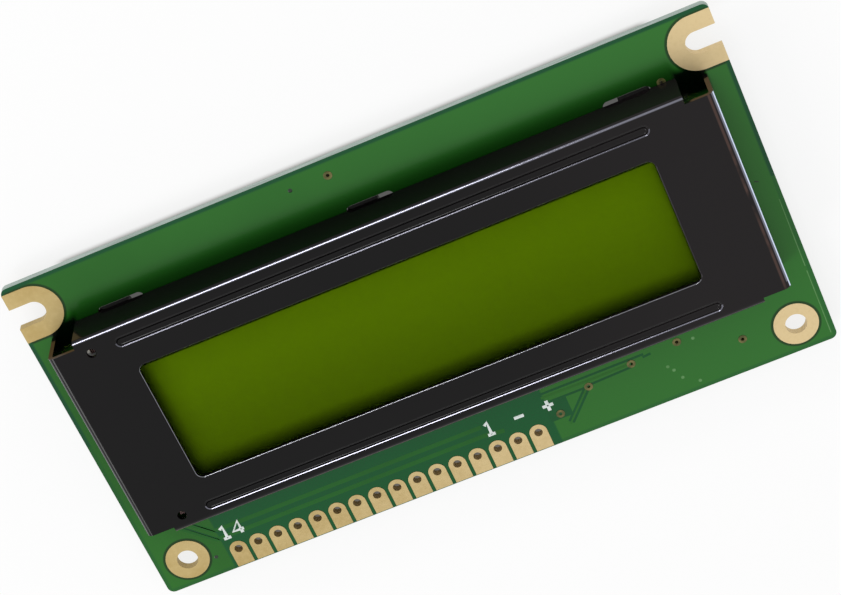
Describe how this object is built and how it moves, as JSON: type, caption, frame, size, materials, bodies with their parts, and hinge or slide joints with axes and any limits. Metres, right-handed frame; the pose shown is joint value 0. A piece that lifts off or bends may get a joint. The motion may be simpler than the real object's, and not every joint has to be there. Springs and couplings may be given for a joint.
{
  "type": "character lcd module",
  "caption": "Character display module: yellow-green liquid-crystal cell and thin backlight clamped to a green circuit board by a black pressed steel bezel, with edge pads and mounting holes",
  "frame": {"origin": "centre of the circuit board's outline in X and Y, and in Z the plane that the module lies on, at the tops of its two chip covers", "axes": "+X along the pad row towards the backlight pads, +Y from the pad row towards the slotted edge, +Z out of the bezel's face towards the viewer"},
  "size_m": [0.084, 0.044, 0.0082],
  "materials": {
    "solder_masked_laminate": "glass-epoxy laminate under satin green solder mask",
    "gold_plating": "matte immersion gold over copper",
    "black_bezel": "pressed steel sheet with a black satin coating",
    "front_film": "yellow-green polarizing film",
    "display_glass": "clear float glass",
    "seal_resin": "cured epoxy seal line",
    "plug_resin": "clear amber resin",
    "liquid_crystal": "thin layer of liquid crystal",
    "rear_film": "polarizing film with a pearly backing",
    "contact_rubber": "layered silicone rubber",
    "white_moulding": "white moulded plastic",
    "white_film": "white reflective film",
    "light_guide_plastic": "clear moulded acrylic",
    "diffuser_plastic": "translucent white film",
    "lamp_laminate": "thin glass-epoxy laminate",
    "lamp_resin": "lamp packages with a pale resin lens",
    "tinned_metal": "tin plating and solder",
    "silicon": "bare silicon",
    "cover_resin": "black epoxy cover",
    "resistor_ceramic": "black glazed ceramic",
    "capacitor_ceramic": "tan ceramic"
  },
  "bodies": {
    "root": {"printed_board": "solder_masked_laminate", "edge_pads": "gold_plating", "mounting_ring_left": "gold_plating", "mounting_ring_right": "gold_plating", "slot_land_left": "gold_plating", "slot_land_right": "gold_plating", "through_platings": "gold_plating", "bezel": "black_bezel", "front_polarizer": "front_film", "front_glass": "display_glass", "cell_seal": "seal_resin", "fill_port_plug": "plug_resin", "liquid_crystal": "liquid_crystal", "rear_glass": "display_glass", "rear_polarizer": "rear_film", "upper_elastomer_strip": "contact_rubber", "lower_elastomer_strip": "contact_rubber", "upper_contact_fingers": "gold_plating", "lower_contact_fingers": "gold_plating", "backlight_tray": "white_moulding", "reflector_film": "white_film", "light_guide": "light_guide_plastic", "diffuser_film": "diffuser_plastic", "lamp_board": "lamp_laminate", "lamps": "lamp_resin", "backlight_leads": "tinned_metal", "lead_platings": "gold_plating", "lead_solder": "tinned_metal", "controller_chip": "silicon", "driver_chip": "silicon", "controller_cover": "cover_resin", "driver_cover": "cover_resin", "part_lands": "gold_plating", "resistor_bodies": "resistor_ceramic", "resistor_caps": "tinned_metal", "capacitor_bodies": "capacitor_ceramic", "capacitor_caps": "tinned_metal", "part_solder": "tinned_metal"}
  },
  "joints": []
}
